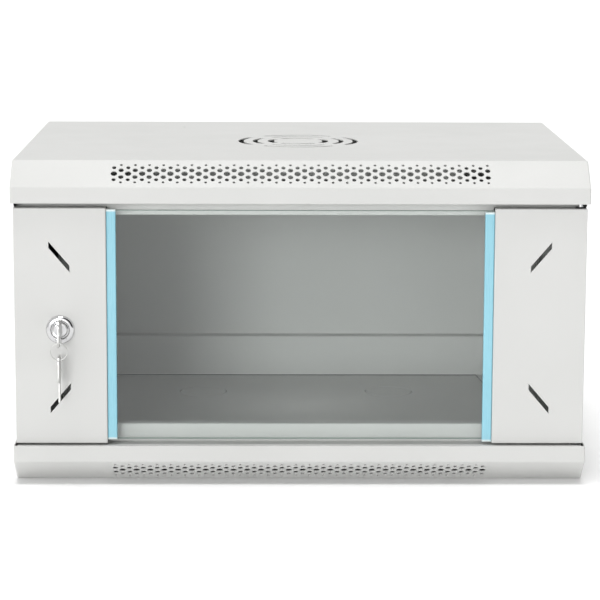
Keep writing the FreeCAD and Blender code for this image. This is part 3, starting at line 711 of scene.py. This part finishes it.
def placed(recipe, geometry, at, rotation=(0, 0, 0)):
    """Geometry carried to a place and turned there."""
    feeds = {"Geometry": geometry, "Translation": at, "Rotation": rotation}
    return put(recipe, "GeometryNodeTransform", feeds).outputs[0]


print("recipe helpers are ready")

# %% [markdown]
# ## Rows, rings and sinks
# A row of punches needs only its first place and its step, both worked out by nodes from the pitch
# and the slope of the bevel. A ring needs two radii and an angle. Each punch reaches well through
# the sheet on both sides, so that the Boolean never meets two faces in one plane.


# %% Punch rows and slot rings
PUNCH_DEPTH = 6 * SKIN
HOLES_IN_A_ROW = 27
PILOT_RADIUS = 2 * MM
SCREW_Y = 150 * MM


def punch_row(recipe, given, column, along, radius_name):
    """A row of round punches across the bevel, starting at the first or second column."""
    shift = reckon(recipe, "MULTIPLY", given["Column pitch"], float(column))
    start_x = reckon(recipe, "ADD", given["First column"], shift)
    slope = math.hypot(BEVEL_RUN, BEVEL_RISE)
    y = FRONT + BEVEL_RUN / 2 + along * BEVEL_RUN / slope
    z = HEIGHT - BEVEL_RISE / 2 + along * BEVEL_RISE / slope
    start = put(recipe, "ShaderNodeCombineXYZ", {"X": start_x, "Y": y, "Z": z})
    double = reckon(recipe, "MULTIPLY", given["Column pitch"], 2.0)
    step = put(recipe, "ShaderNodeCombineXYZ", {"X": double})
    line = {"Count": given["Holes in a row"], "Start Location": start.outputs[0],
            "Offset": step.outputs[0]}
    row = put(recipe, "GeometryNodeMeshLine", line, mode="OFFSET")
    punch = put(recipe, "GeometryNodeMeshCylinder", {"Vertices": 20, "Radius": given[radius_name],
                                                     "Depth": PUNCH_DEPTH})
    lean = (math.asin(BEVEL_RISE / slope), 0, 0)
    return copied(recipe, row.outputs[0], punch.outputs[0], lean)


def slot_ring(recipe, given, ring_name):
    """Four curved punches round the middle of the flat."""
    radii = put(recipe, "ShaderNodeSeparateXYZ", {"Vector": given[ring_name]}).outputs
    total = reckon(recipe, "ADD", radii["X"], radii["Y"])
    mean = reckon(recipe, "MULTIPLY", total, 0.5)
    slot_width = reckon(recipe, "SUBTRACT", radii["Y"], radii["X"])
    start = reckon(recipe, "MULTIPLY", given["Slot sweep"], -0.5)
    arc = put(recipe, "GeometryNodeCurveArc", {"Resolution": 25, "Radius": mean, "Start Angle": start,
                                               "Sweep Angle": given["Slot sweep"]})
    bar = put(recipe, "GeometryNodeCurvePrimitiveQuadrilateral",
              {"Width": slot_width, "Height": PUNCH_DEPTH})
    swept = put(recipe, "GeometryNodeCurveToMesh", {"Curve": arc.outputs[0], "Profile Curve": bar.outputs[0],
                                                    "Fill Caps": True}).outputs[0]
    quarters = put(recipe, "GeometryNodeMeshLine", {"Count": 4, "Start Location": (0, 0, HEIGHT),
                                                    "Offset": (0, 0, 0)}, mode="OFFSET").outputs[0]
    number = put(recipe, "GeometryNodeInputIndex").outputs[0]
    turned = reckon(recipe, "MULTIPLY", number, math.pi / 2)
    turn_by = put(recipe, "ShaderNodeCombineXYZ", {"Z": turned}).outputs[0]
    return copied(recipe, quarters, swept, turn_by)


PUNCH_ROWS = (("Middle hole", 0, 0.0), ("Middle neighbour", 0, 8.5), ("Middle neighbour", 0, -8.5),
              ("Inner hole", 1, 4.8), ("Inner hole", 1, -4.8),
              ("Edge hole", 1, 12.3), ("Edge hole", 1, -12.3))
punching, given = new_recipe(
    "punch_the_cover", ("Material", "Material", None), ("First column", "Float", -0.1933),
    ("Column pitch", "Float", 0.00731), ("Holes in a row", "Int", HOLES_IN_A_ROW),
    ("Middle hole", "Float", 0.0034),
    ("Middle neighbour", "Float", 0.0022), ("Inner hole", "Float", 0.0028), ("Edge hole", "Float", 0.0015),
    ("Outer ring", "Vector", (0.061, 0.067, 0)), ("Middle ring", "Vector", (0.0455, 0.051, 0)),
    ("Inner ring", "Vector", (0.027, 0.034, 0)), ("Slot sweep", "Float", math.radians(72)),
    ("Pilot hole at", "Vector", (-0.133, 0.157, HEIGHT)))
punches = [punch_row(punching, given, column, along * MM, name) for name, column, along in PUNCH_ROWS]
punches += [slot_ring(punching, given, name) for name in ("Outer ring", "Middle ring", "Inner ring")]
pilot = put(punching, "GeometryNodeMeshCylinder",
            {"Vertices": 20, "Radius": PILOT_RADIUS, "Depth": PUNCH_DEPTH}).outputs[0]
punches.append(placed(punching, pilot, given["Pilot hole at"]))
SCREW_PLACES = [(side * WIDTH / 2, y, HEIGHT - COVER_HEIGHT / 2)
                for side in (-1, 1) for y in (-SCREW_Y, SCREW_Y)]
for x, y, z in SCREW_PLACES:
    sink = put(punching, "GeometryNodeMeshCone",
               {"Vertices": 32, "Radius Top": 0.0022, "Radius Bottom": 0.0046, "Depth": 0.0024}).outputs[0]
    side = math.copysign(1, x)
    punches.append(placed(punching, sink, (x + side * 0.0004, y, z), (0, -side * math.pi / 2, 0)))
joined = put(punching, "GeometryNodeJoinGeometry", {"Geometry": punches}).outputs[0]
real_punches = put(punching, "GeometryNodeRealizeInstances", {"Geometry": joined}).outputs[0]
punched = put(punching, "GeometryNodeMeshBoolean", {"Mesh 1": given["Geometry"], "Mesh 2": real_punches},
              operation="DIFFERENCE", solver="EXACT").outputs[0]
close_recipe(punching, punched, given["Material"])
print("punching recipe:", len(punching.nodes), "nodes,", len(PUNCH_ROWS) * HOLES_IN_A_ROW, "holes")

# %% [markdown]
# ## Both covers from one pressing
# The lower cover is the upper one turned half a turn about the depth axis. A turn keeps the faces
# pointing outwards, while a mirror copy would turn them inside out.


# %% Upper and lower cover
def tidied(piece):
    """Joins what a Boolean leaves doubled and checks that the skin is closed."""
    bm = bmesh.new()
    bm.from_mesh(piece.data)
    bmesh.ops.remove_doubles(bm, verts=bm.verts[:], dist=0.005 * MM)
    bmesh.ops.dissolve_degenerate(bm, dist=0.005 * MM, edges=bm.edges[:])
    open_edges = sum(len(edge.link_faces) != 2 for edge in bm.edges)
    bm.to_mesh(piece.data)
    bm.free()
    return open_edges


follow(tray, punching, Material=PAINT)
open_edges = tidied(tray)
even_shading(tray)
lower = bpy.data.objects.new("bottom_cover_pressing", tray.data.copy())
scene.collection.objects.link(lower)
half_turn = (Matrix.Translation((0, 0, MIDDLE)) @ Matrix.Rotation(math.pi, 4, "Y")
             @ Matrix.Translation((0, 0, -MIDDLE)))
lower.data.transform(half_turn)
lower.data.update()
hand_over(tray, "top_cover")
hand_over(lower, "bottom_cover")
print("covers:", len(tray.data.polygons), "faces each,", open_edges, "open edges")

# %% [markdown]
# ## Fasteners
# Screws, bolts and nuts are made once and repeated. A loose point marks each place, and an arrow on
# the point says where the fastener's head looks. The recipe puts a copy on every point and turns it
# along its arrow. The cross recess of the screws and the eased corners of the hexagons are real
# cuts, since a bump would vanish from the side.


# %% Points with arrows, and the fastener recipes
def marked(name, places):
    """A mesh of loose points, each with the direction that its head looks."""
    mesh = bpy.data.meshes.new(name)
    mesh.from_pydata([at for at, _ in places], [], [])
    arrows = mesh.attributes.new("arrow", "FLOAT_VECTOR", "POINT")
    for i, (_, direction) in enumerate(places):
        arrows.data[i].vector = direction
    piece = bpy.data.objects.new(name, mesh)
    scene.collection.objects.link(piece)
    return piece


def on_points(recipe, given, fastener):
    """A copy of the fastener on every point, turned along the point's arrow."""
    arrow = put(recipe, "GeometryNodeInputNamedAttribute", {"Name": "arrow"},
                data_type="FLOAT_VECTOR").outputs[0]
    lean = put(recipe, "FunctionNodeAlignRotationToVector", {"Vector": arrow}, axis="Z").outputs[0]
    return copied(recipe, given["Geometry"], fastener, lean)


def cut(recipe, body, tools, operation="DIFFERENCE"):
    """Takes the tools out of the body, or keeps only what both share."""
    if operation == "DIFFERENCE":
        feeds = {"Mesh 1": body, "Mesh 2": tools}
    else:
        feeds = {"Mesh 2": [body] + tools}
    return put(recipe, "GeometryNodeMeshBoolean", feeds, operation=operation, solver="EXACT").outputs[0]


def cylinder(recipe, radius, low, high, vertices=32):
    """Upright cylinder between two heights."""
    made = put(recipe, "GeometryNodeMeshCylinder",
               {"Vertices": vertices, "Radius": radius, "Depth": high - low})
    return placed(recipe, made.outputs[0], (0, 0, (low + high) / 2))


def cone(recipe, low_radius, high_radius, low, high, vertices=32):
    """Upright cone between two heights, with a radius at each."""
    made = put(recipe, "GeometryNodeMeshCone", {"Vertices": vertices, "Radius Bottom": low_radius,
                                                "Radius Top": high_radius, "Depth": high - low})
    return placed(recipe, made.outputs[0], (0, 0, low))


def screw_recipe():
    """Countersunk M4 screw whose head face is at height 0."""
    recipe, given = new_recipe("countersunk_screws", ("Material", "Material", None))
    head = cone(recipe, 0.0020, 0.0039, -0.0021, -0.0002)
    shank = cylinder(recipe, 0.0020, -0.0118, -0.0020, 24)
    body = cut(recipe, head, [shank], "UNION")
    arms = []
    for size in ((0.0042, 0.0009, 0.0024), (0.0009, 0.0042, 0.0024)):
        arm = put(recipe, "GeometryNodeMeshCube", {"Size": size}).outputs[0]
        arms.append(placed(recipe, arm, (0, 0, -0.0002)))
    pit = cone(recipe, 0.0003, 0.0013, -0.0019, 0.0004, 16)
    cross = cut(recipe, arms[0], [arms[1], pit], "UNION")
    return close_recipe(recipe, on_points(recipe, given, cut(recipe, body, [cross])), given["Material"])


def hexagon_recipe(name, across, low, high, bore=0.0, shank=None):
    """Hexagon with eased corners from height low to high; a nut has a bore, a bolt has a shank."""
    recipe, given = new_recipe(name, ("Material", "Material", None), ("Across flats", "Float", across))
    thickness = high - low
    corner = reckon(recipe, "MULTIPLY", given["Across flats"], 1 / math.sqrt(3))
    block = cylinder(recipe, corner, low, high, 6)
    flat = across * 0.475
    easing = cone(recipe, flat + 4 * thickness, flat, high - 2 * thickness, high, 48)
    body = cut(recipe, block, [easing], "INTERSECT")
    if bore:
        body = cut(recipe, body, [cylinder(recipe, bore, low - 0.001, high + 0.001)])
    if shank:
        radius, end = shank
        body = cut(recipe, body, [cylinder(recipe, radius, end, low + 0.0005, 24)], "UNION")
    return close_recipe(recipe, on_points(recipe, given, body), given["Material"])


SCREWS = screw_recipe()
RAIL_BOLTS = hexagon_recipe("rail_bolts", 0.010, 0.0, 0.004, shank=(0.003, -0.0095))
RAIL_NUTS = hexagon_recipe("rail_nuts", 0.010, 0.0, 0.0049, bore=0.003)
CLAMP_NUTS = hexagon_recipe("clamp_nuts", 0.008, 0.0, 0.004, bore=0.0025)
print("fastener recipes:", SCREWS.name, RAIL_BOLTS.name, RAIL_NUTS.name, CLAMP_NUTS.name)


# %% [markdown]
# ## Where the fasteners sit
# The places are those of the model's holes: four screws on each side of both covers, a bolt
# and a nut at the foot and the head of every rail, and three nuts on each glass clamp.


# %% Put the fasteners in place
RAIL_BOLT_X = 240 * MM
RAIL_BOLT_Y = 134 * MM
SHELF_TOP = 46 * MM
SHELF_UNDERSIDE = 42.9 * MM
CLAMP_NUT_X = 227 * MM
CLAMP_NUT_HEIGHTS = (0.074, 0.169, 0.264)


def fastened(node, recipe, places):
    """Runs a fastener recipe on its places and hands the result over."""
    piece = marked(node + "_set", places)
    follow(piece, recipe, Material=ZINC)
    even_shading(piece, crease=25.0)
    hand_over(piece, node)
    print("%-28s %2d pieces %6d faces" % (piece.name, len(places), len(piece.data.polygons)))
    return piece


cover_screw_places = [((x, y, z), (math.copysign(1, x), 0, 0))
                      for x, y, height in SCREW_PLACES for z in (height, HEIGHT - height)]
fastened("cover_screws", SCREWS, cover_screw_places)
for end, y in (("front", -RAIL_BOLT_Y), ("rear", RAIL_BOLT_Y)):
    for side, x in (("left", -RAIL_BOLT_X), ("right", RAIL_BOLT_X)):
        rail = "%s_%s_rail" % (end, side)
        feet = [((x, y, SHELF_TOP), (0, 0, 1)), ((x, y, HEIGHT - SHELF_TOP), (0, 0, -1))]
        fastened(rail + "_bolts", RAIL_BOLTS, feet)
        under = [((x, y, SHELF_UNDERSIDE), (0, 0, -1)), ((x, y, HEIGHT - SHELF_UNDERSIDE), (0, 0, 1))]
        fastened(rail + "_nuts", RAIL_NUTS, under)
clamp_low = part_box("clamp_nuts")[0].y
fastened("clamp_nuts", CLAMP_NUTS, [((side * CLAMP_NUT_X, clamp_low, z), (0, 1, 0))
                                    for side in (-1, 1) for z in CLAMP_NUT_HEIGHTS])

# %% [markdown]
# ## The glass and its trims
# The pane is cut and its edges are ground to a small flat arris, so it is a box with bevelled edges
# and two finishes: clear faces, green ground edges. The trims are extruded strips with a full
# round on the two front edges. They are taken from the model's boxes.


# %% Pane and trim strips
def rounded_block(name, low, high, rounds, segments, *finishes):
    """A box with eased edges; rounds gives each edge's radius in millimetres."""
    bm = bmesh.new()
    bmesh.ops.create_cube(bm, size=1.0)
    centre, size = (low + high) / 2, high - low
    for vertex in bm.verts:
        vertex.co = Vector([centre[i] + vertex.co[i] * size[i] for i in range(3)])
    weight = bm.edges.layers.float.new("bevel_weight_edge")
    for edge in bm.edges:
        edge[weight] = rounds(edge, low, high)
    piece = object_from(bm, name, *finishes)
    easing = piece.modifiers.new("easing", "BEVEL")
    easing.limit_method = "WEIGHT"
    easing.width = 1 * MM
    easing.segments = segments
    return piece


low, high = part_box("door_glass")
pane = settle(rounded_block("door_glass_pane", low, high, lambda edge, low, high: 0.6, 2, PANE, PANE_EDGE))
for face in pane.data.polygons:
    face.material_index = 0 if abs(face.normal.y) > 0.99 else 1
even_shading(pane)
hand_over(pane, "door_glass")
print("pane:", [round(side, 4) for side in pane.dimensions])


def trim_rounds(edge, low, high):
    """Full round on the front, eased behind and at the ends."""
    upright = abs(edge.verts[0].co.z - edge.verts[1].co.z) > 0.01
    in_front = all(abs(vertex.co.y - low.y) < 1e-5 for vertex in edge.verts)
    if in_front:
        return 1.4 if upright else 0.8
    return 0.3


for side in ("left", "right"):
    node = side + "_glass_trim"
    low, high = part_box(node)
    strip = rounded_block(node + "_strip", low, high, trim_rounds, 4, blue_trim(low.z, high.z))
    even_shading(settle(strip), crease=50.0)
    hand_over(strip, node)
    print(strip.name, [round(length, 4) for length in strip.dimensions])

# %% [markdown]
# ## The cam lock
# The lock's body is turned from one bar: a domed rosette in front, a threaded barrel behind. A
# profile spun about the lock's axis makes it, with every groove of the thread in the profile. The
# dome is what gives chrome its look, because it mirrors the whole room in a few millimetres. The
# cylinder sits in the rosette with an open groove round it, and its face has an upright keyway.


# %% Spin a profile about the lock
LOCK_AT = Vector((-0.250, 0, 0.165))


def spun(name, profile, finish, closed, steps=72):
    """Turns a list of (radius, depth) points, in millimetres, about the lock's axis."""
    bm = bmesh.new()
    rings = []
    for radius, depth in profile:
        if radius < 1e-6:
            rings.append([bm.verts.new((LOCK_AT.x, depth * MM, LOCK_AT.z))])
            continue
        angles = [2 * math.pi * i / steps for i in range(steps)]
        rings.append([bm.verts.new((LOCK_AT.x + radius * MM * math.cos(a), depth * MM,
                                    LOCK_AT.z + radius * MM * math.sin(a))) for a in angles])
    pairs = list(zip(rings, rings[1:])) + ([(rings[-1], rings[0])] if closed else [])
    for first, second in pairs:
        for i in range(steps):
            j = (i + 1) % steps
            corners = [first[i % len(first)], first[j % len(first)],
                       second[j % len(second)], second[i % len(second)]]
            bm.faces.new(list(dict.fromkeys(corners)))
    bmesh.ops.recalc_face_normals(bm, faces=bm.faces[:])
    return object_from(bm, name, finish)


def thread(radius, start, end, pitch=1.0, depth=0.45):
    """Zigzag of a screw thread's profile."""
    turns = int((end - start) / pitch)
    return [(radius - depth * (i % 2), start + pitch * i / 2) for i in range(2 * turns + 1)]


dome = [(15.0, -219.0), (15.0, -219.7), (14.8, -220.3)]
dome += [(11.2 + 3.6 * math.cos(math.radians(a)), -220.3 - 3.1 * math.sin(math.radians(a)))
         for a in range(12, 91, 13)]
dome += [(11.2, -223.42), (10.6, -223.5), (10.1, -223.4), (9.6, -222.9), (9.3, -222.2), (9.3, -220.7),
         (6.1, -220.7)]
threaded = list(reversed(thread(9.45, -216.6, -195.0)))
body_profile = dome + [(6.05, -194.6), (9.0, -194.5)] + threaded + [(9.45, -219.0)]
lock_face = spun("lock_body_turning", body_profile, CHROME, closed=True)
even_shading(lock_face, crease=28.0)
hand_over(lock_face, "lock_body")
print("lock body:", len(lock_face.data.polygons), "faces, from", len(body_profile), "points")

# %% [markdown]
# ## The keyed cylinder
# The cylinder is spun in the same way, and then a flat bar is taken out of its face for the key.


# %% Cylinder with its keyway
plug_profile = [(0.0, -223.0), (6.4, -223.0), (6.8, -222.85), (7.2, -223.0), (7.9, -223.15), (8.4, -222.9),
                (8.6, -222.4), (8.6, -221.0), (6.0, -221.0), (6.0, -193.5), (5.6, -193.2), (0.0, -193.2)]
plug = spun("lock_cylinder_turning", plug_profile, CHROME, closed=False, steps=64)
keying, given = new_recipe("cut_the_keyway", ("Material", "Material", None),
                           ("Keyway", "Vector", (0.0024, 0.021, 0.0079)))
slot_bar = put(keying, "GeometryNodeMeshCube", {"Size": given["Keyway"]}).outputs[0]
KEYWAY_MIDDLE = -214.5 * MM
slot_at = placed(keying, slot_bar, (LOCK_AT.x, KEYWAY_MIDDLE, LOCK_AT.z))
close_recipe(keying, cut(keying, given["Geometry"], [slot_at]), given["Material"])
follow(plug, keying, Material=CHROME)
open_edges = tidied(plug)
even_shading(plug, crease=24.0)
hand_over(plug, "lock_cylinder")
print("cylinder:", len(plug.data.polygons), "faces,", open_edges, "open edges")

# %% [markdown]
# ## The split ring
# A split ring is two turns of round wire, lying side by side and cut off square. A spiral with a
# small rise is exactly that curve, and sweeping a circle along it gives the wire.


# %% Two turns of wire
WIRE_RISE = 1.58 * MM
WIRE_TURNS = 1.94
WIRE_STARTS_AT = 200


def split_ring():
    """Wire ring that lies flat, with its first end at height 0."""
    recipe, given = new_recipe("split_ring", ("Material", "Material", None), ("Ring radius", "Float", 0.0087),
                               ("Wire radius", "Float", 0.0004), ("Rise", "Float", WIRE_RISE))
    spiral = {"Resolution": 48, "Rotations": WIRE_TURNS, "Start Radius": given["Ring radius"],
              "End Radius": given["Ring radius"], "Height": given["Rise"]}
    coil = put(recipe, "GeometryNodeCurveSpiral", spiral).outputs[0]
    wire = put(recipe, "GeometryNodeCurvePrimitiveCircle",
               {"Resolution": 10, "Radius": given["Wire radius"]}).outputs[0]
    swept = put(recipe, "GeometryNodeCurveToMesh",
                {"Curve": coil, "Profile Curve": wire, "Fill Caps": True}).outputs[0]
    return close_recipe(recipe, swept, given["Material"])


ring_low, ring_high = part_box("key_ring")
ring_centre = (ring_low + ring_high) / 2
ring = marked("key_ring_coil", [((0, 0, 0), (0, 0, 1))])
follow(ring, split_ring(), Material=NICKEL)
stand_up = Matrix.Translation(ring_centre) @ Matrix.Rotation(math.radians(90), 4, "X")
stand_up = stand_up @ Matrix.Rotation(math.radians(WIRE_STARTS_AT), 4, "Z")
stand_up = stand_up @ Matrix.Translation((0, 0, -WIRE_RISE / 2))
ring.data.transform(stand_up)
even_shading(ring, crease=50.0)
hand_over(ring, "key_ring")
print("ring:", [round(length, 4) for length in ring.dimensions], len(ring.data.polygons), "faces")
